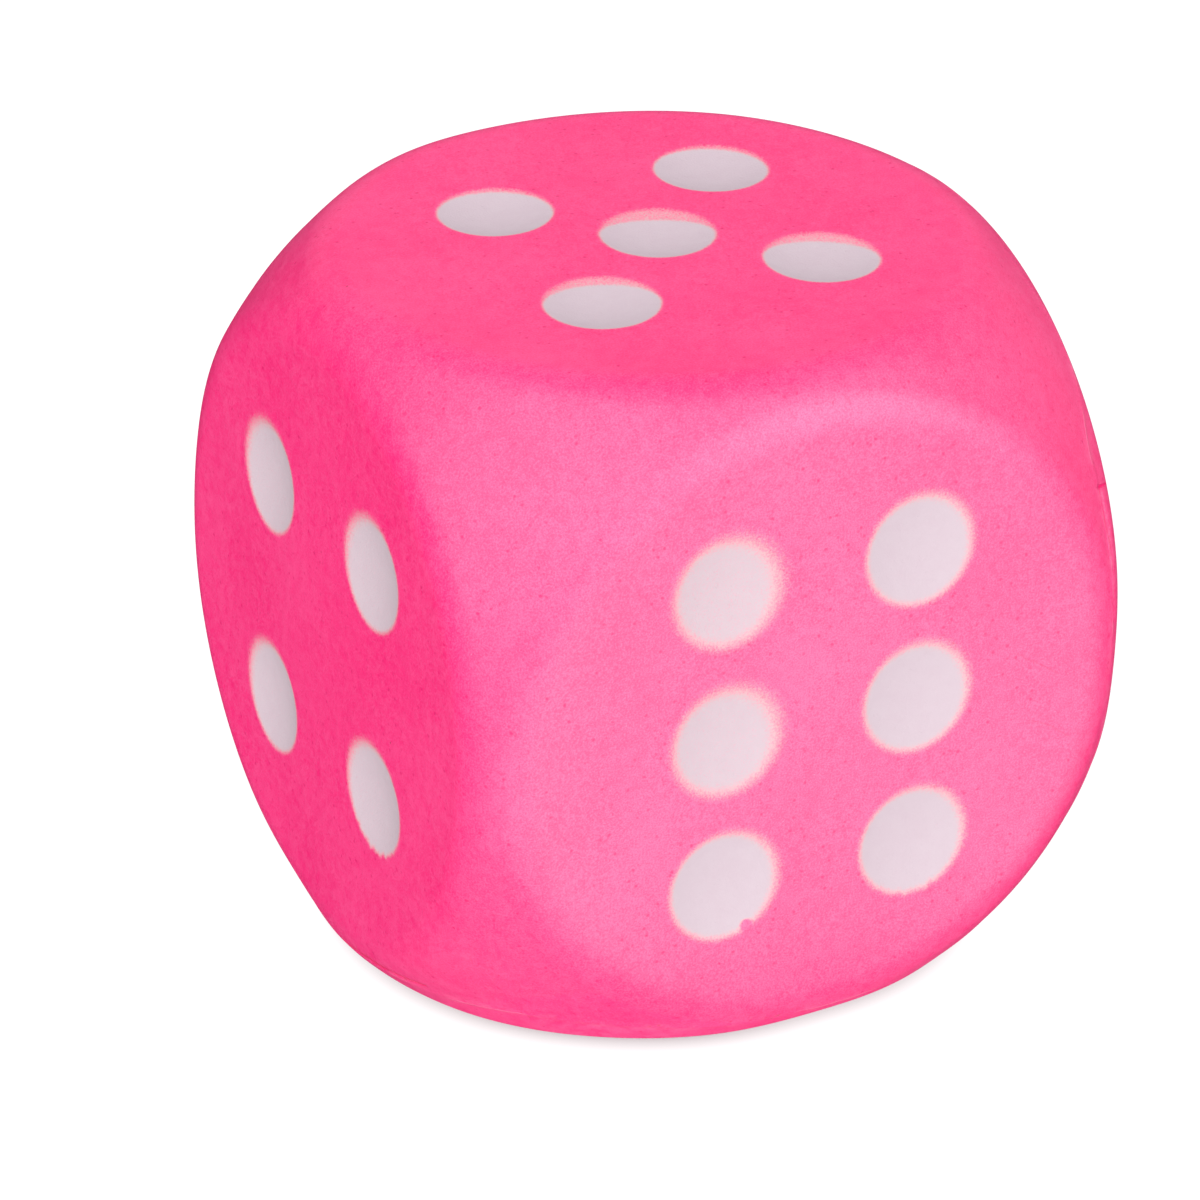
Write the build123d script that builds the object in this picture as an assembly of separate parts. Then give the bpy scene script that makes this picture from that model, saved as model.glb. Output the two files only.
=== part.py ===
from build123d import *

import os

# Soft foam play die: one self-skinned foam moulding with a shallow round dish moulded for every
# pip, and a sprayed coat of white paint lying in each dish.
#
# Millimetres, +Z up. The origin is the centre of the face that the die rests on.
# Front (-Y) six, left (-X) four, top (+Z) five, back (+Y) one, right (+X) three, bottom (-Z) two:
# opposite faces add up to seven.

# Driving dimensions
EDGE = 75.0               # face to opposite face, all three ways
CORNER_SPHERE_R = 50.4    # the sphere, centred in the cube, that shapes corners and edges
RIM_ROUND_R = 6.2         # round between each flat face and that sphere
PIP_R = 6.1               # outer radius of a painted dish
DISH_DEPTH = 1.0          # depth of a dish at its middle, below the face
PAINT_THICKNESS = 0.25    # sprayed coat, the same all over the dish

# Worked out from them
HALF = EDGE / 2
DISH_SPHERE_R = (PIP_R ** 2 + DISH_DEPTH ** 2) / (2 * DISH_DEPTH)

# A face's spots, as steps across and up, seen from outside the die
CORNERS = {
    "upper_left": (-1, 1),
    "upper_right": (1, 1),
    "lower_left": (-1, -1),
    "lower_right": (1, -1),
}
CENTRE = {"centre": (0, 0)}
SIDES = {"middle_left": (-1, 0), "middle_right": (1, 0)}
FALLING = {"upper_left": (-1, 1), "lower_right": (1, -1)}

# Each face: outward normal, the direction across it, the steps across and up, how far the
# pattern's middle lies from the face's middle, and the spots it has
FACES = {
    "one": ((0, 1, 0), (-1, 0, 0), (12.3, 12.3), (0, 0), CENTRE),
    "two": ((0, 0, -1), (-1, 0, 0), (12.3, 12.3), (0, 0), FALLING),
    "three": ((1, 0, 0), (0, 1, 0), (12.3, 12.3), (0, 0), FALLING | CENTRE),
    "four": ((-1, 0, 0), (0, -1, 0), (12.3, 12.8), (0.1, 0.5), CORNERS),
    "five": ((0, 0, 1), (1, 0, 0), (12.5, 12.2), (1.0, 0.7), CORNERS | CENTRE),
    "six": ((0, -1, 0), (1, 0, 0), (10.8, 16.6), (0.3, 0.1), CORNERS | SIDES),
}


def face_plane(normal, across):
    """The plane of one face: its local X is across, its local Z points out of the die."""
    middle = Vector(0, 0, HALF) + Vector(*normal) * HALF
    return Plane(origin=middle, x_dir=across, z_dir=normal)


def pip_planes():
    """Every pip's node name, with the plane of its face centred on the pip."""
    planes = {}
    for face, (normal, across, steps, shift, spots) in FACES.items():
        plane = face_plane(normal, across)
        for spot, (column, row) in spots.items():
            place = Pos(shift[0] + column * steps[0], shift[1] + row * steps[1])
            planes[f"pip_{face}_{spot}"] = plane * place
    return planes


def foam_blank():
    """The cube cut by the corner sphere, with the rim of each flat face rounded."""
    cube = Pos(0, 0, HALF) * Box(EDGE, EDGE, EDGE)
    blank = cube & Pos(0, 0, HALF) * Sphere(CORNER_SPHERE_R)
    rims = blank.edges().filter_by(GeomType.CIRCLE)
    return fillet(rims, RIM_ROUND_R)


def dish_ball(radius):
    """A ball about the dish's centre of curvature, for a face in the local XY plane."""
    return Pos(0, 0, DISH_SPHERE_R - DISH_DEPTH) * Sphere(radius)


def paint_coat():
    """One pip's paint: a thin bowl that fills the bottom of its dish, flush with the face."""
    below_face = Box(3 * PIP_R, 3 * PIP_R, 3 * DISH_DEPTH, align=(Align.CENTER, Align.CENTER, Align.MAX))
    return dish_ball(DISH_SPHERE_R) & below_face - dish_ball(DISH_SPHERE_R - PAINT_THICKNESS)


os.makedirs("parts", exist_ok=True)

foam_body = foam_blank()
for name, place in pip_planes().items():
    foam_body -= place * dish_ball(DISH_SPHERE_R)
    export_step(place * paint_coat(), f"parts/{name}.step")
export_step(foam_body, "parts/foam_body.step")
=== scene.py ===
import math

import bpy
import numpy as np
from mathutils import Matrix, Vector


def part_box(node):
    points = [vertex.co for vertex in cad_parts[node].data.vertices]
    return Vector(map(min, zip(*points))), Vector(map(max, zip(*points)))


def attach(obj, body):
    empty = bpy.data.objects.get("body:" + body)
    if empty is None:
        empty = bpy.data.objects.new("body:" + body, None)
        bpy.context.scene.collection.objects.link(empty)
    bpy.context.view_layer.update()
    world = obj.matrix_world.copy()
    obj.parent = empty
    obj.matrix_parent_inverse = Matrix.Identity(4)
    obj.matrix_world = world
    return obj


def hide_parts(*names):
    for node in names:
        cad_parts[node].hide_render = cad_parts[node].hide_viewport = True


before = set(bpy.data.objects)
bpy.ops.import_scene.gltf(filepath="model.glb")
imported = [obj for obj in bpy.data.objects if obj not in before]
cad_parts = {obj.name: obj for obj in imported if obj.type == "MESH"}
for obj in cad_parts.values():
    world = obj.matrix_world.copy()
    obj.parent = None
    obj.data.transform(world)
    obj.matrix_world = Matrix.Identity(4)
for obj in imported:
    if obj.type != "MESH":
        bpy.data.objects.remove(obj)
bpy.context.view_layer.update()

# A soft foam play die: one foam moulding and its sprayed white pips, in metres, in the CAD's frame.

MM = 0.001
FOAM_NODE = "foam_body"
PIP_NODES = sorted(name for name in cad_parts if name.startswith("pip_"))

# ---------------------------------------------------------------- sizes

low, high = (np.array(corner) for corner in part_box(FOAM_NODE))
CENTRE = (low + high) / 2
HALF = (high[2] - low[2]) / 2
CORNER_SPHERE_R = 50.4 * MM   # the sphere that shapes corners and edges
RIM_ROUND_R = 6.2 * MM        # round between each flat face and that sphere

GRID = 128                    # quads along each of the body's six patches
EDGE_CROWDING = 0.5           # 0 spaces them evenly, more crowds them towards the cube's edges
CROWN = 0.35 * MM             # how far a free face swells at its middle
PIP_PATCH_R = 8.0 * MM        # how far a pip's paint and its overspray reach
PIP_RINGS = 48
PIP_SPOKES = 128
DISH_RIM_SOFTNESS = 0.06      # rounds the rim of a dish, as a share of its depth
PAINT_BED = 0.05 * MM         # how far the foam lies below a pip's paint
PAINT_BACK = 0.30 * MM        # thickness of the paint piece, hidden in the foam
RIDGE_HEIGHT = 0.05 * MM      # of the mould's parting line
SPLIT_DEPTH = 0.35 * MM
FURROW_DEPTH = 0.15 * MM

# ---------------------------------------------------------------- colours and marks

FOAM_PINK = (1.0, 0.036, 0.220)
SHEEN = 0.80                  # how strongly the skin mirrors; the paint does so a fifth as much
PAINT_WHITE = (0.58, 0.475, 0.525)

# Uneven foam: places in mm about the die's centre, each with its height, sunk if negative, and
# its reach in mm
SWELLS = [
    (26, -33, -27, 0.28, 8),
    (2, -35, -36, -0.40, 6),
    (-28, -20, -36, 0.28, 9),
    (-37, 9, -33, -0.38, 6),
    (-37, 33, 6, -0.20, 8),
    (-12, 33, 36, 0.22, 6),
    (22, 25, 37, 0.14, 9),
    (36, -34, -3, -0.28, 6),
]

# The mould's parting line, in mm about the die's centre, round between the two groups of three faces
SEAM = [
    (0, 36, 36), (18, 35.8, 35.4), (29.3, 29.5, 29.0),
    (35.2, 18, 35.8), (35, 4, 36.5), (34.6, -7, 35.8), (34.5, -14.2, 33.9), (35.6, -18.5, 30.5),
    (36.1, -23.5, 26.2), (35.1, -27.8, 23.1), (34, -31.1, 20.3), (34.3, -32.9, 16.7), (34.8, -34, 13.1),
    (35.1, -34.7, 10.2), (34.9, -35.9, 6), (35, -36.2, 0.4), (35.2, -35.8, -4.5), (35.6, -34.8, -14),
    (29.5, -29, -29), (18, -35, -33.6), (3.9, -36.2, -34.5), (-5.6, -36.5, -34), (-17.9, -33.6, -33.1),
    (-27.3, -27.4, -32.4), (-33.8, -17.4, -33.2), (-36.7, -9.1, -33), (-36.4, -2.5, -34.1),
    (-36.2, 8, -34.8), (-35, 20, -34), (-29, 29.3, -29.2), (-35.3, 35, -16), (-36, 35.6, -4),
    (-35.8, 35.6, 6), (-35.4, 35.2, 16), (-29.2, 29, 29.4), (-18, 35.5, 35.7),
]
SEAM_STEPS = 14               # samples between two of those places
SEAM_REACH = 6.0              # the distance from it, in mm, is kept up to here

# Marks in the skin: width in mm and, point by point, places in mm about the die's centre
SPLIT = (1.5, [(34.6, -32.9, 16.0), (34.6, -33.5, 14.7), (34.8, -34.0, 13.1), (35.1, -34.3, 11.9)])
SPLIT_END = (0.8, [(35.1, -34.3, 11.9), (35.1, -34.7, 10.2), (35.2, -35.6, 6.6), (35.3, -36.0, 2.5)])
SPLIT_NICK = (0.55, [(34.3, -33.1, 16.6), (36.7, -30.9, 15.6)])
SPLIT_LIP = (0.75, [(34.2, -33.3, 16.2), (34.3, -34.4, 13.5), (34.6, -34.9, 11.3), (34.8, -35.3, 8.6),
                    (34.9, -35.9, 5.0)])
FURROW = (0.9, [(-36.4, -2.5, -34.1), (-36.7, -9.1, -33), (-35.8, -14.5, -32.4), (-34.6, -18.0, -32.2)])
# Creases: their darker colour in the material is painted shade
CREASES = [
    (0.24, [(22.6, -37.5, 2.3), (27.0, -37.5, -0.6), (30.9, -37.3, -3.8)]),
    (0.22, [(24.5, -37.5, -5.8), (27.5, -37.5, -7.4), (30.0, -37.5, -9.4)]),
    (0.24, [(-0.8, -37.5, 5.6), (1.2, -37.5, 2.6), (3.6, -37.5, 4.8)]),
]
SCUFF_AND_FLOOR_GLEAM = (-20.0, -31.5, -34.2)   # middle of a paler stretch below the parting line: rubbed foam with a painted reflection of the pale floor

# How each seen pip was sprayed: where its overspray drifted, the width in mm of its plain edge and
# of its drifted one, and the strength of the halo beyond
SPRAYS = {
    "pip_five_centre": ((0.4, 0.9, 0), 1.3, 1.6, 0.14),
    "pip_five_upper_left": ((0.5, 0.9, 0), 1.0, 1.5, 0.08),
    "pip_five_upper_right": ((0.6, 0.8, 0), 1.1, 1.6, 0.10),
    "pip_five_lower_left": ((0.3, 0.9, 0), 1.1, 1.6, 0.12),
    "pip_five_lower_right": ((0.5, 0.9, 0), 1.1, 1.6, 0.12),
    "pip_six_upper_left": ((0.8, 0, 0.6), 3.0, 4.8, 0.30),
    "pip_six_middle_left": ((0.7, 0, 0.7), 3.0, 4.8, 0.29),
    "pip_six_lower_left": ((0.8, 0, 0.5), 2.0, 3.3, 0.18),
    "pip_six_upper_right": ((0.5, 0, 0.8), 2.1, 3.5, 0.20),
    "pip_six_middle_right": ((0.6, 0, 0.8), 2.2, 3.5, 0.19),
    "pip_six_lower_right": ((0.7, 0, 0.7), 1.9, 3.1, 0.16),
    "pip_four_upper_left": ((0, 0.6, 0.8), 1.3, 3.4, 0.15),
    "pip_four_upper_right": ((0, 0.6, 0.8), 1.3, 3.4, 0.15),
    "pip_four_lower_left": ((0, 0.6, 0.8), 1.3, 3.2, 0.14),
    "pip_four_lower_right": ((0, 0.5, 0.8), 1.3, 3.0, 0.12),
}
# Thinly painted far side of a pip: its width in mm
THIN_SIDE = {
    "pip_five_centre": 2.0,
    "pip_five_upper_left": 0.8,
    "pip_five_upper_right": 0.8,
    "pip_five_lower_left": 1.4,
    "pip_five_lower_right": 1.6,
}
# Pips whose coat is thin all over, so that the pink shows through it
THIN_COAT = {
    "pip_six_upper_left": 0.86,
    "pip_six_middle_left": 0.89,
    "pip_four_upper_left": 0.91,
    "pip_four_upper_right": 0.92,
    "pip_four_lower_left": 0.93,
    "pip_four_lower_right": 0.92,
}
# Torn lower edge of a pip: its depth in mm
RAGGED = {"pip_six_lower_right": 0.07, "pip_four_lower_right": 0.10}
# Bare notch in a pip: its place in mm about the pip's middle
NOTCHED = {"pip_six_lower_left": (2.7, 0, -5.3)}


# ---------------------------------------------------------------- shape

RIM_HEIGHT = HALF - RIM_ROUND_R
RIM_RADIUS = math.sqrt((CORNER_SPHERE_R - RIM_ROUND_R) ** 2 - RIM_HEIGHT ** 2)


def bare_surface(directions):
    """Points and outward normals, about the cube's centre, where unit directions meet the body."""
    axis = np.abs(directions).argmax(1)
    rows = np.arange(len(directions))
    side = np.sign(directions[rows, axis])
    up = np.zeros_like(directions)
    up[rows, axis] = side
    cos = np.abs(directions[rows, axis])
    across = directions - up * cos[:, None]
    sin = np.linalg.norm(across, axis=1)
    across /= np.maximum(sin, 1e-12)[:, None]
    angle = np.arctan2(sin, cos)

    along = sin * RIM_RADIUS + cos * RIM_HEIGHT
    reach = along + np.sqrt(np.maximum(along ** 2 - RIM_RADIUS ** 2 - RIM_HEIGHT ** 2 + RIM_ROUND_R ** 2, 0))
    radius, height = reach * sin, reach * cos
    normal_r, normal_h = (radius - RIM_RADIUS) / RIM_ROUND_R, (height - RIM_HEIGHT) / RIM_ROUND_R

    flat = angle <= math.atan2(RIM_RADIUS, HALF)
    ball = angle >= math.atan2(RIM_RADIUS, RIM_HEIGHT)
    reach = np.where(flat, HALF / cos, np.where(ball, CORNER_SPHERE_R, reach))
    normal_r = np.where(flat, 0, np.where(ball, sin, normal_r))
    normal_h = np.where(flat, 1, np.where(ball, cos, normal_h))
    normals = across * normal_r[:, None] + up * normal_h[:, None]
    return directions * reach[:, None], normals


def fade(value, start, end):
    """0 before start, 1 past end, smooth between them; start may be the larger."""
    t = np.clip((value - start) / (end - start), 0, 1)
    return t * t * (3 - 2 * t)


def crown(points):
    """Outward swell of each free face; the face that the die rests on stays flat."""
    swell = np.zeros(len(points))
    for axis in range(3):
        others = [k for k in range(3) if k != axis]
        radius = np.linalg.norm(points[:, others], axis=1)
        dome = np.clip(1 - (radius / RIM_RADIUS) ** 2, 0, 1) ** 2
        near = np.abs(points[:, axis]) > HALF - 0.5 * MM
        free = points[:, 2] > -HALF + 0.5 * MM
        swell += CROWN * dome * near * free
    return swell


def relief(points):
    """How far the foam's surface stands out from the bare shape; nowhere through the floor."""
    height = crown(points)
    for x, y, z, swell, reach in SWELLS:
        offset = points - np.array((x, y, z)) * MM
        height += swell * MM * np.exp(-(offset ** 2).sum(1) / (2 * (reach * MM) ** 2))
    off_floor = fade(points[:, 2], -HALF, -HALF + 1.2 * MM)
    return np.where(height > 0, height * off_floor, height)


def dish_depth(radius, dish_radius, depth):
    """Depth of a pip's dish at a distance from its middle, with its rim rounded."""
    bowl = 1 - (radius / dish_radius) ** 2
    return depth * 0.5 * (bowl + np.sqrt(bowl ** 2 + DISH_RIM_SOFTNESS ** 2))


def pip_places():
    """Each pip's middle on its bare face, its face's normal, two directions in the face, and its size."""
    places = {}
    for name in PIP_NODES:
        corner_a, corner_b = (np.array(corner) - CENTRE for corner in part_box(name))
        size = corner_b - corner_a
        axis = int(size.argmin())
        middle = (corner_a + corner_b) / 2
        normal = np.zeros(3)
        normal[axis] = np.sign(middle[axis])
        middle[axis] = normal[axis] * HALF
        along = np.zeros(3)
        along[(axis + 1) % 3] = 1.0
        places[name] = {
            "middle": middle,
            "normal": normal,
            "u": along,
            "v": np.cross(normal, along),
            "radius": size.max() / 2,
            "depth": size[axis],
        }
    return places


def hidden_sprays():
    """Spray values drawn by chance, used by the pips that SPRAYS doesn't list."""
    chance = np.random.default_rng(7)
    sprays = {}
    for name in PIP_NODES:
        sprays[name] = (chance.uniform(-1, 1, 3), chance.uniform(0.6, 1.0), chance.uniform(1.2, 2.0),
                        chance.uniform(0.05, 0.14))
    return sprays


PIPS = pip_places()
HIDDEN_SPRAYS = hidden_sprays()


def seam_curve():
    """The parting line on the bare surface: its points, and at each a direction across it."""
    places = np.array(SEAM) * MM
    t = np.linspace(0, 1, SEAM_STEPS, endpoint=False)[:, None]
    curve = []
    for k in range(len(places)):
        a, b, c, d = (places[(k + step) % len(places)] for step in (-1, 0, 1, 2))
        curve.append(0.5 * (2 * b + (c - a) * t + (2 * a - 5 * b + 4 * c - d) * t ** 2
                            + (3 * b - a - 3 * c + d) * t ** 3))
    curve = np.concatenate(curve)
    points, normals = bare_surface(curve / np.linalg.norm(curve, axis=1, keepdims=True))
    along = np.roll(points, -1, 0) - np.roll(points, 1, 0)
    across = np.cross(normals, along)
    across /= np.linalg.norm(across, axis=1, keepdims=True)
    if (across @ np.array((-1, -1, 1))).mean() < 0:
        across = -across
    return points, across


def seam_distance(points):
    """Signed distance from the parting line in mm, positive on the side of the top face."""
    line, across = seam_curve()
    distance = np.empty(len(points))
    for start in range(0, len(points), 4096):
        part = points[start:start + 4096]
        nearest = ((part[:, None] - line[None]) ** 2).sum(2).argmin(1)
        offset = part - line[nearest]
        sideways = (offset * across[nearest]).sum(1)
        full = np.linalg.norm(offset, axis=1) * np.sign(sideways)
        distance[start:start + 4096] = np.where(np.abs(sideways) < 1.5 * MM, sideways, full)
    return np.clip(distance / MM, -SEAM_REACH, SEAM_REACH)


def path_distance(points, path):
    """Distance in mm from a path of places laid on the bare surface."""
    path = np.array(path) * MM
    path = bare_surface(path / np.linalg.norm(path, axis=1, keepdims=True))[0]
    nearest = np.full(len(points), np.inf)
    for a, b in zip(path[:-1], path[1:]):
        offset = points - a
        share = np.clip(offset @ (b - a) / ((b - a) @ (b - a)), 0, 1)
        nearest = np.minimum(nearest, np.linalg.norm(offset - np.outer(share, b - a), axis=1))
    return nearest / MM


def marks(points, seam):
    """Height of the parting line's ridge and of the slit, its lip and the furrow, all in the mesh."""
    height = RIDGE_HEIGHT * fade(np.abs(seam), 0.8, 0.1)
    for (width, path), rise in ((SPLIT, -SPLIT_DEPTH), (SPLIT_END, -0.5 * SPLIT_DEPTH),
                                (SPLIT_LIP, 0.3 * SPLIT_DEPTH), (FURROW, -FURROW_DEPTH)):
        height = height + rise * fade(path_distance(points, path), 0.55 * width, 0.1 * width)
    return height


def mesh_object(name, points, faces, attributes=None):
    """A smooth-shaded mesh object from points about the cube's centre."""
    mesh = bpy.data.meshes.new(name)
    mesh.from_pydata((points + CENTRE).tolist(), [], faces)
    mesh.validate()
    mesh.shade_smooth()
    for key, values in (attributes or {}).items():
        attribute = mesh.attributes.new(key, "FLOAT", "POINT")
        attribute.data.foreach_set("value", np.asarray(values, np.float32))
    piece = bpy.data.objects.new(name, mesh)
    bpy.context.scene.collection.objects.link(piece)
    return piece


def cube_sphere(cells):
    """Unit directions and quads of a cube's surface, with shared points along its edges."""
    steps = np.linspace(-1, 1, cells + 1)
    steps = steps + EDGE_CROWDING * np.sin(math.pi * steps) / math.pi
    tangent = np.tan(steps * math.pi / 4)
    index = {}
    directions, quads = [], []
    for axis in range(3):
        for side in (-1, 1):
            first, second = (axis + 1) % 3, (axis + 2) % 3
            ids = np.empty((cells + 1, cells + 1), int)
            for i, a in enumerate(tangent):
                for j, b in enumerate(tangent):
                    spot = [0.0, 0.0, 0.0]
                    spot[axis], spot[first], spot[second] = side, a, b
                    key = tuple(round(value * 1e7) for value in spot)
                    if key not in index:
                        index[key] = len(directions)
                        directions.append(spot)
                    ids[i, j] = index[key]
            corners = [ids[:-1, :-1], ids[1:, :-1], ids[1:, 1:], ids[:-1, 1:]]
            if side < 0:
                corners.reverse()
            quads.append(np.stack([c.ravel() for c in corners], 1))
    directions = np.array(directions)
    directions /= np.linalg.norm(directions, axis=1, keepdims=True)
    return directions, np.concatenate(quads)


def foam_body():
    """The whole foam surface as one mesh, with its dishes, marks and uneven places."""
    directions, quads = cube_sphere(GRID)
    points, normals = bare_surface(directions)
    shift = relief(points)
    for pip in PIPS.values():
        offset = points - pip["middle"]
        on_face = np.abs(offset @ pip["normal"]) < 0.1 * MM
        radius = np.hypot(offset @ pip["u"], offset @ pip["v"])
        bed = PAINT_BED * fade(radius, PIP_PATCH_R - 0.1 * MM, PIP_PATCH_R - 2.0 * MM)
        shift -= on_face * (bed + dish_depth(radius, pip["radius"], pip["depth"]))
    seam = seam_distance(points + normals * shift[:, None])
    shift = shift + marks(points, seam)
    points = points + normals * shift[:, None]
    points[:, 2] = np.maximum(points[:, 2], -HALF)
    return mesh_object("foam_moulding", points, quads.tolist(), {"seam": seam})


def coverage(name, pip, radius, turn):
    """How much of the foam a pip's paint hides, from 1 in its middle to 0 clear of its overspray."""
    drift, plain, drifted, halo = SPRAYS.get(name, HIDDEN_SPRAYS[name])
    drift = np.array(drift) / np.linalg.norm(drift)
    toward = np.cos(turn) * (pip["u"] @ drift) + np.sin(turn) * (pip["v"] @ drift)
    lean = np.clip(toward, 0, 1)
    width = (plain + (drifted - plain) * lean) * MM
    down = np.clip(-np.cos(turn) * pip["u"][2] - np.sin(turn) * pip["v"][2], 0, 1)
    torn = RAGGED.get(name, 0) * down ** 2 * (np.sin(19 * turn) + np.sin(31 * turn + 2)) * MM
    middle = radius - pip["radius"] - torn
    core = fade(middle, 0.5 * width, -0.5 * width)
    if name in THIN_SIDE:
        inner = middle + THIN_SIDE[name] * lean * MM
        core = core * (0.55 + 0.45 * fade(inner, 0.30 * MM, -0.30 * MM))
    core = core * THIN_COAT.get(name, 1)
    if name in NOTCHED:
        spot = np.outer(radius * np.cos(turn), pip["u"]) + np.outer(radius * np.sin(turn), pip["v"])
        gap = np.linalg.norm(spot - np.array(NOTCHED[name]) * MM, axis=1)
        core = core * fade(gap, 0.35 * MM, 0.95 * MM)
    mist = halo * (0.35 + 0.65 * lean) * fade(radius, PIP_PATCH_R - 0.1 * MM, pip["radius"])
    return np.maximum(core, mist)


def pip_patch(name, pip):
    """A pip's paint: a closed patch that lines the dish and dips into the foam at its edge."""
    radii = np.linspace(0, PIP_PATCH_R, PIP_RINGS + 1)[1:]
    turns = np.linspace(0, 2 * math.pi, PIP_SPOKES, endpoint=False)
    radius = np.concatenate([[0.0], np.repeat(radii, PIP_SPOKES)])
    turn = np.concatenate([[0.0], np.tile(turns, PIP_RINGS)])
    bare = (pip["middle"] + np.outer(radius * np.cos(turn), pip["u"])
            + np.outer(radius * np.sin(turn), pip["v"]))
    tuck = 0.012 * MM * fade(radius, PIP_PATCH_R - 1.6 * MM, PIP_PATCH_R)
    height = relief(bare) - dish_depth(radius, pip["radius"], pip["depth"]) - tuck
    top = bare + np.outer(height, pip["normal"])
    back = top - PAINT_BACK * pip["normal"]
    count = len(top)

    faces = []
    for k in range(PIP_SPOKES):
        after = (k + 1) % PIP_SPOKES
        faces.append((0, 1 + k, 1 + after))
        faces.append((count, count + 1 + after, count + 1 + k))
        for ring in range(PIP_RINGS - 1):
            a, b = 1 + ring * PIP_SPOKES + k, 1 + ring * PIP_SPOKES + after
            faces.append((a, a + PIP_SPOKES, b + PIP_SPOKES, b))
            faces.append((count + a, count + b, count + b + PIP_SPOKES, count + a + PIP_SPOKES))
        edge = 1 + (PIP_RINGS - 1) * PIP_SPOKES
        faces.append((edge + k, count + edge + k, count + edge + after, edge + after))
    spray = coverage(name, pip, radius, turn)
    return mesh_object(name.replace("pip_", "paint_"), np.concatenate([top, back]), faces,
                       {"spray": np.tile(spray, 2)})


# ---------------------------------------------------------------- materials

class Network:
    """One material's nodes. Places and heights inside it are in mm, about the die's centre."""

    def __init__(self, name):
        self.material = bpy.data.materials.new(name)
        self.material.use_nodes = True
        self.nodes = self.material.node_tree.nodes
        self.links = self.material.node_tree.links
        self.shader = self.nodes["Principled BSDF"]
        place = self.add("TexCoord", "Object")
        self.place = self.vector("MULTIPLY_ADD", place, (1 / MM,) * 3, tuple(-CENTRE / MM))

    def add(self, kind, output, inputs=None, **settings):
        made = self.nodes.new("ShaderNode" + kind)
        for key, value in settings.items():
            setattr(made, key, value)
        for socket, value in (inputs or {}).items():
            if isinstance(value, bpy.types.NodeSocket):
                self.links.new(value, made.inputs[socket])
            else:
                made.inputs[socket].default_value = value
        return made.outputs[output]

    def math(self, operation, *values):
        return self.add("Math", 0, dict(enumerate(values)), operation=operation)

    def vector(self, operation, *values):
        output = "Value" if operation in ("LENGTH", "DISTANCE", "DOT_PRODUCT") else "Vector"
        return self.add("VectorMath", output, dict(enumerate(values)), operation=operation)

    def scaled(self, vector, factor):
        return self.add("VectorMath", "Vector", {"Vector": vector, "Scale": factor}, operation="SCALE")

    def total(self, *values):
        result = values[0]
        for value in values[1:]:
            result = self.math("ADD", result, value)
        return result

    def ease(self, value, start, end, top=1.0):
        """0 before start, top past end, smooth between them; start may be the larger."""
        return self.add("MapRange", "Result", {"Value": value, "From Min": start, "From Max": end,
                                               "To Min": 0.0, "To Max": top},
                        interpolation_type="SMOOTHSTEP")

    def noise(self, size, shift, detail=2.0, roughness=0.5, output=0):
        place = self.vector("ADD", self.place, (shift, -2.0 * shift, 0.5 * shift))
        return self.add("TexNoise", output, {"Vector": place, "Scale": 1.0 / size, "Detail": detail,
                                             "Roughness": roughness})

    def blend(self, factor, first, second):
        first, second = (c if isinstance(c, bpy.types.NodeSocket) else (*c, 1.0) for c in (first, second))
        return self.add("Mix", "Result", {"Factor": factor, "A": first, "B": second}, data_type="RGBA")

    def attribute(self, name):
        return self.add("Attribute", "Fac", attribute_name=name)

    def wobbling(self, size, reach, shift):
        """The place, shaken by a noise."""
        shake = self.noise(size, shift, output="Color")
        return self.vector("MULTIPLY_ADD", self.vector("SUBTRACT", shake, (0.5,) * 3), (reach,) * 3,
                           self.place)

    def stroke(self, place, width, path):
        """1 along a path of places on the body's surface, 0 beyond half its width."""
        path = np.array(path) * MM
        path = bare_surface(path / np.linalg.norm(path, axis=1, keepdims=True))[0] / MM
        nearest = None
        for a, b in zip(path[:-1], path[1:]):
            offset = self.vector("SUBTRACT", place, tuple(a))
            share = self.vector("DOT_PRODUCT", offset, tuple((b - a) / ((b - a) @ (b - a))))
            share = self.add("Clamp", 0, {"Value": share})
            gap = self.vector("DISTANCE", offset, self.scaled(tuple(b - a), share))
            nearest = gap if nearest is None else self.math("MINIMUM", nearest, gap)
        return self.ease(nearest, 0.5 * width, 0.1 * width)

    def finish(self, colour, roughness, sheen, height):
        self.links.new(colour, self.shader.inputs["Base Color"])
        self.links.new(roughness, self.shader.inputs["Roughness"])
        self.links.new(sheen, self.shader.inputs["Specular IOR Level"])
        normal = self.add("Bump", 0, {"Height": height, "Strength": 1.0, "Distance": MM})
        self.links.new(normal, self.shader.inputs["Normal"])
        return self.material


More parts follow.
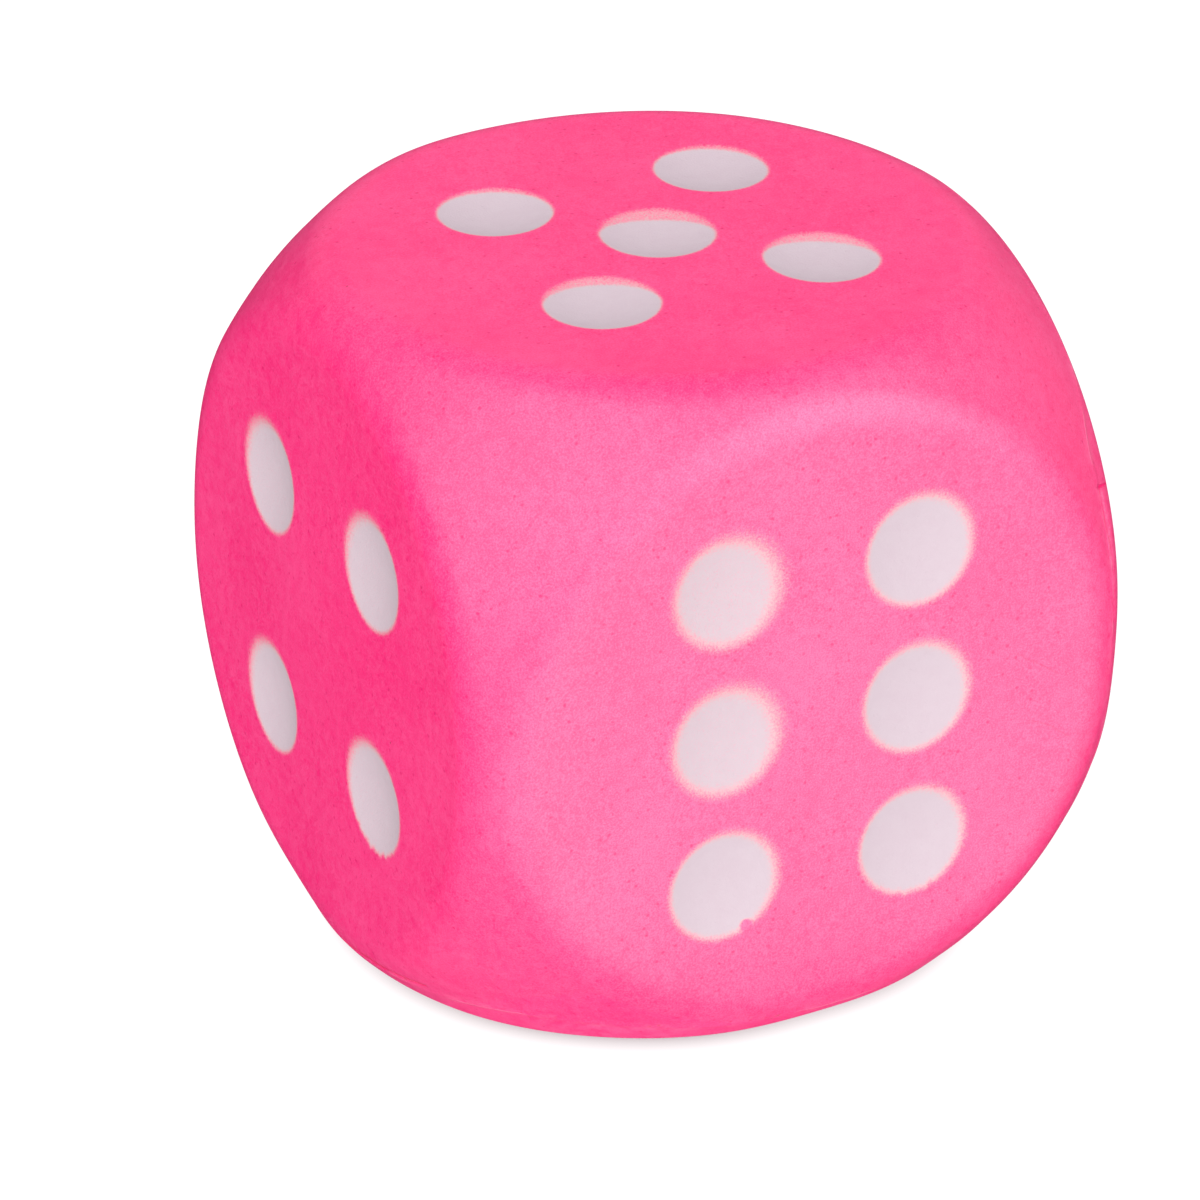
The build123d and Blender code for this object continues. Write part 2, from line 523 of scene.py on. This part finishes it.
def foam_skin(net):
    """Colour, roughness, sheen and height of bare foam skin, on the body and round the pips."""
    broad = net.noise(13.0, 3, detail=3)
    cloud = net.noise(1.3, 17, detail=3, roughness=0.6)
    grain = net.noise(0.20, 29, detail=2, roughness=0.7)
    pits = {"Vector": net.wobbling(0.8, 0.3, 47), "Scale": 1 / 1.25}
    pores = net.math("MULTIPLY", net.ease(net.add("TexVoronoi", "Distance", pits), 0.22, 0.05),
                     net.ease(net.add("TexVoronoi", "Color", pits), 0.20, 0.80))
    shallow = net.ease(net.noise(0.50, 43, detail=2, roughness=0.6), 0.60, 0.75, 0.6)
    pores = net.math("MAXIMUM", pores, shallow)
    flecks = net.ease(net.noise(0.36, 59, detail=1), 0.76, 0.84)
    cells = net.add("TexVoronoi", "Distance", {"Vector": net.place, "Scale": 1 / 9.0})
    pinholes = net.ease(cells, 0.016, 0.006)

    tone = net.total(net.math("MULTIPLY", broad, 0.9), net.math("MULTIPLY", cloud, 1.2),
                     net.math("MULTIPLY", grain, 3.2), -2.15)
    deep = tuple(c * f for c, f in zip(FOAM_PINK, (0.97, 0.20, 0.81)))
    pale = tuple(c * f for c, f in zip(FOAM_PINK, (1.0, 1.85, 1.21)))
    colour = net.blend(tone, deep, pale)
    # Darker pores and pinholes: painted shade in these pits, which the bump also sinks
    colour = net.blend(net.math("MULTIPLY", pores, 0.80), colour, (0.80, 0.006, 0.145))
    colour = net.blend(net.math("MULTIPLY", flecks, 0.30), colour, (1.0, 0.30, 0.46))
    colour = net.blend(pinholes, colour, (0.55, 0.01, 0.06))

    roughness = net.total(net.math("MULTIPLY", grain, 0.20), net.math("MULTIPLY", cloud, 0.10), 0.30)
    sheen = net.total(net.math("MULTIPLY", grain, 0.30 * SHEEN), net.math("MULTIPLY", pores, -0.45 * SHEEN),
                      0.87 * SHEEN)
    height = net.total(net.math("MULTIPLY", broad, 0.12), net.math("MULTIPLY", cloud, 0.025),
                       net.math("MULTIPLY", grain, 0.022), net.math("MULTIPLY", pores, -0.020),
                       net.math("MULTIPLY", pinholes, -0.10))
    return colour, roughness, sheen, height


def foam_material():
    net = Network("self_skinned_foam")
    colour, roughness, sheen, height = foam_skin(net)
    shaken = net.wobbling(2.5, 0.5, 71)

    seam = net.attribute("seam")
    seam = net.math("ADD", seam, net.math("MULTIPLY_ADD", net.noise(2.0, 83), 0.5, -0.25))
    off_seam = net.math("ABSOLUTE", seam)
    broken = net.ease(net.noise(7.0, 97, detail=3), 0.44, 0.60)
    ridge = net.math("MULTIPLY", net.ease(off_seam, 0.30, 0.05), broken)
    rub = net.math("MULTIPLY", net.ease(off_seam, 1.6, 0.5),
                   net.ease(net.noise(2.4, 101, detail=4), 0.50, 0.66))
    colour = net.blend(net.math("MULTIPLY", rub, 0.12), colour, (1.0, 0.24, 0.42))
    colour = net.blend(net.math("MULTIPLY", ridge, 0.32), colour, (1.0, 0.26, 0.42))
    # Paler below the parting line near the floor: partly rubbed foam, partly a painted reflection of the
    # pale floor
    scuff_and_gleam = net.math("MULTIPLY", net.ease(seam, 0.25, -0.25),
                     net.ease(net.vector("DISTANCE", shaken, SCUFF_AND_FLOOR_GLEAM), 11.0, 4.0))
    scuff_and_gleam = net.math("MULTIPLY", scuff_and_gleam, net.ease(net.noise(2.2, 151, detail=3), 0.36, 0.60))
    colour = net.blend(net.math("MULTIPLY", scuff_and_gleam, 0.20), colour, (1.0, 0.20, 0.46))
    grime = net.math("MULTIPLY", net.ease(off_seam, 1.3, 0.3),
                     net.ease(net.noise(0.9, 113, detail=3), 0.64, 0.71))
    low_down = net.ease(net.add("SeparateXYZ", "Z", {"Vector": net.place}), -24.0, -30.0)
    grime = net.math("MULTIPLY", grime, low_down)
    colour = net.blend(net.math("MULTIPLY", grime, 0.55), colour, (0.50, 0.075, 0.09))

    # Darker along the creases: painted shade in them
    creases = None
    for width, path in CREASES:
        crease = net.stroke(shaken, width, path)
        creases = crease if creases is None else net.math("MAXIMUM", creases, crease)
    colour = net.blend(net.math("MULTIPLY", creases, 0.22), colour, (0.95, 0.012, 0.16))
    # Darker along the furrow: painted shade in the groove, which the mesh also sinks
    furrow = net.stroke(shaken, *FURROW)
    colour = net.blend(net.math("MULTIPLY", furrow, 0.6), colour, (0.85, 0.012, 0.09))
    # Lighter along the slit's raised lip: a painted highlight
    lip = net.stroke(net.place, *SPLIT_LIP)
    colour = net.blend(net.math("MULTIPLY", lip, 0.28), colour, (1.0, 0.26, 0.45))
    # Dark slit and nick: painted shade inside the split, where its sheen is also cut
    split = net.math("MAXIMUM", net.stroke(net.place, *SPLIT), net.stroke(net.place, *SPLIT_NICK))
    split = net.math("MAXIMUM", split, net.math("MULTIPLY", net.stroke(net.place, *SPLIT_END), 0.5))
    colour = net.blend(split, colour, (1.0, 0.012, 0.165))
    sheen = net.math("MULTIPLY", sheen, net.math("MULTIPLY_ADD", split, -0.9, 1.0))

    height = net.total(height, net.math("MULTIPLY", ridge, 0.05), net.math("MULTIPLY", rub, 0.015),
                       net.math("MULTIPLY", creases, -0.04), net.math("MULTIPLY", split, -0.10),
                       net.math("MULTIPLY", lip, 0.05), net.math("MULTIPLY", furrow, -0.12))
    return net.finish(colour, roughness, sheen, height)


def paint_material():
    net = Network("sprayed_paint")
    colour, roughness, sheen, height = foam_skin(net)
    spray = net.attribute("spray")
    droplets = net.noise(0.22, 127, detail=2, roughness=0.65)
    laid = net.total(net.math("MULTIPLY", droplets, 0.9), net.math("MULTIPLY", spray, 1.2), -0.56)
    hidden = net.ease(laid, 0.0, 1.0)
    cloud = net.noise(1.6, 131, detail=3)
    tone = net.total(net.math("MULTIPLY", cloud, 1.0), net.math("MULTIPLY", droplets, 0.6), -0.30)
    full = tuple(c * f for c, f in zip(PAINT_WHITE, (1.02, 1.03, 1.03)))
    weak = tuple(c * f for c, f in zip(PAINT_WHITE, (0.98, 0.95, 0.97)))
    warm = tuple(c * f for c, f in zip(PAINT_WHITE, (1.16, 0.98, 0.88)))
    white = net.blend(tone, full, weak)
    white = net.blend(net.ease(spray, 1.0, 0.40), white, warm)
    colour = net.blend(hidden, colour, white)
    roughness = net.math("MULTIPLY_ADD", hidden, 0.2, roughness)
    sheen = net.math("MULTIPLY", sheen, net.math("MULTIPLY_ADD", hidden, -0.8, 1.0))
    height = net.total(height, net.math("MULTIPLY", hidden, 0.02),
                       net.math("MULTIPLY", net.noise(0.3, 139, detail=2), 0.02))
    return net.finish(colour, roughness, sheen, height)


# ---------------------------------------------------------------- pieces

body = foam_body()
body.data.materials.append(foam_material())
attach(body, "root")
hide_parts(FOAM_NODE)

paint = paint_material()
for pip_name, pip in PIPS.items():
    patch = pip_patch(pip_name, pip)
    patch.data.materials.append(paint)
    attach(patch, "root")
    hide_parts(pip_name)

# ---------------------------------------------------------------- floor, light and camera

CAMERA_AZIMUTH = -26.89
CAMERA_ELEVATION = 27.38
CAMERA_ROLL = 0.387
CAMERA_DISTANCE = 784 * MM
CAMERA_ASIDE = -5.07 * MM      # the lens axis passes this far to the right of the die's centre
CAMERA_ABOVE = -3.46 * MM      # and this far above it
CAMERA_LENS = 225.5

FLOOR_GREY = 0.10
FLOOR_GLOW = 1.0
CONTACT_REACH = 1.6 * MM       # how far from the die the floor is shaded
CONTACT_SOFTNESS = 0.22        # the lower, the fainter that shade
SKY = 0.28

# Broad round lights: name, azimuth, elevation and width in degrees, strength, and whether the
# surfaces mirror it; the others light only their colours
LIGHTS = [
    ("key", -56, 32, 90, 2.05, False),
    ("top", 0, 90, 150, 1.3, False),
    ("fill", 48, 20, 100, 1.05, False),
    ("bounce", -20, -60, 120, 2.5, False),
    ("low_sheen", 14, 24, 70, 2.1, True),
    ("corner_sheen", 38, 12, 60, 1.3, True),
    ("side_sheen", -64, 40, 64, 1.25, True),
    ("back_sheen", 165, 30, 60, 0.27, True),
    ("right_sheen", 105, 20, 70, 0.36, True),
]


def stage_floor():
    bpy.ops.mesh.primitive_plane_add(size=8, location=(0, 0, 0))
    floor = bpy.context.object
    floor.name = "floor"
    made = bpy.data.materials.new("pale_floor")
    made.use_nodes = True
    shader = made.node_tree.nodes["Principled BSDF"]
    shader.inputs["Base Color"].default_value = (FLOOR_GREY, FLOOR_GREY, FLOOR_GREY, 1)
    shader.inputs["Roughness"].default_value = 0.9
    shader.inputs["Specular IOR Level"].default_value = 0.0
    shader.inputs["Emission Color"].default_value = (1, 1, 1, 1)
    links = made.node_tree.links
    # Painted contact shadow: the floor's glow dims by ambient occlusion near the die
    open_air = made.node_tree.nodes.new("ShaderNodeAmbientOcclusion")
    open_air.inputs["Distance"].default_value = CONTACT_REACH
    shade = made.node_tree.nodes.new("ShaderNodeMath")
    shade.operation = "POWER"
    shade.inputs[1].default_value = CONTACT_SOFTNESS
    glow = made.node_tree.nodes.new("ShaderNodeMath")
    glow.operation = "MULTIPLY"
    glow.inputs[1].default_value = FLOOR_GLOW
    links.new(open_air.outputs["AO"], shade.inputs[0])
    links.new(shade.outputs[0], glow.inputs[0])
    links.new(glow.outputs[0], shader.inputs["Emission Strength"])
    made.cycles.emission_sampling = "NONE"
    floor.data.materials.append(made)
    floor.visible_glossy = False
    floor.visible_diffuse = False
    floor.visible_shadow = False


def camera():
    azimuth, elevation, roll = (math.radians(a) for a in (CAMERA_AZIMUTH, CAMERA_ELEVATION, CAMERA_ROLL))
    back = np.array([math.sin(azimuth) * math.cos(elevation),
                     -math.cos(azimuth) * math.cos(elevation), math.sin(elevation)])
    level = np.array([math.cos(azimuth), math.sin(azimuth), 0.0])
    upward = np.cross(back, level)
    right = math.cos(roll) * level + math.sin(roll) * upward
    top = np.cross(back, right)
    place = CENTRE + CAMERA_DISTANCE * back + CAMERA_ASIDE * right + CAMERA_ABOVE * top
    data = bpy.data.cameras.new("camera")
    data.lens = CAMERA_LENS
    data.sensor_width = 36
    data.clip_start, data.clip_end = 0.01, 50
    made = bpy.data.objects.new("camera", data)
    columns = Matrix((right, top, back)).transposed()
    made.matrix_world = Matrix.Translation(place) @ columns.to_4x4()
    bpy.context.scene.collection.objects.link(made)
    bpy.context.scene.camera = made


def softbox(name, azimuth, elevation, angle, strength, gloss):
    """A broad round light: either the one the surfaces mirror or the one that lights their colours."""
    azimuth, elevation = math.radians(azimuth), math.radians(elevation)
    toward = Vector((math.sin(azimuth) * math.cos(elevation), -math.cos(azimuth) * math.cos(elevation),
                     math.sin(elevation)))
    data = bpy.data.lights.new(name, "SUN")
    data.angle = math.radians(angle)
    data.energy = strength
    lamp = bpy.data.objects.new(name, data)
    lamp.rotation_mode = "QUATERNION"
    lamp.rotation_quaternion = toward.to_track_quat("Z", "Y")
    lamp.visible_glossy = gloss
    lamp.visible_diffuse = not gloss
    bpy.context.scene.collection.objects.link(lamp)


def sheen_card(x, y, turn, width, length, strength):
    """A pale card lying beside the die that only its skin's sheen mirrors."""
    data = bpy.data.lights.new("sheen_card", "AREA")
    data.shape = "RECTANGLE"
    data.size, data.size_y = width, length
    data.energy = strength
    card = bpy.data.objects.new("sheen_card", data)
    card.location = (x, y, 1.5 * MM)
    card.rotation_euler = (math.pi, 0, math.radians(turn))
    card.visible_camera = False
    card.visible_diffuse = False
    bpy.context.scene.collection.objects.link(card)


def world_light():
    world = bpy.data.worlds.new("studio")
    world.use_nodes = True
    world.node_tree.nodes["Background"].inputs["Color"].default_value = (1, 1, 1, 1)
    world.node_tree.nodes["Background"].inputs["Strength"].default_value = SKY
    world.cycles_visibility.glossy = False
    bpy.context.scene.world = world


stage_floor()
camera()
world_light()
for light in LIGHTS:
    softbox(*light)
sheen_card(x=-0.004, y=-0.160, turn=5, width=0.185, length=0.215, strength=0.17)
bpy.context.scene.view_settings.view_transform = "Standard"
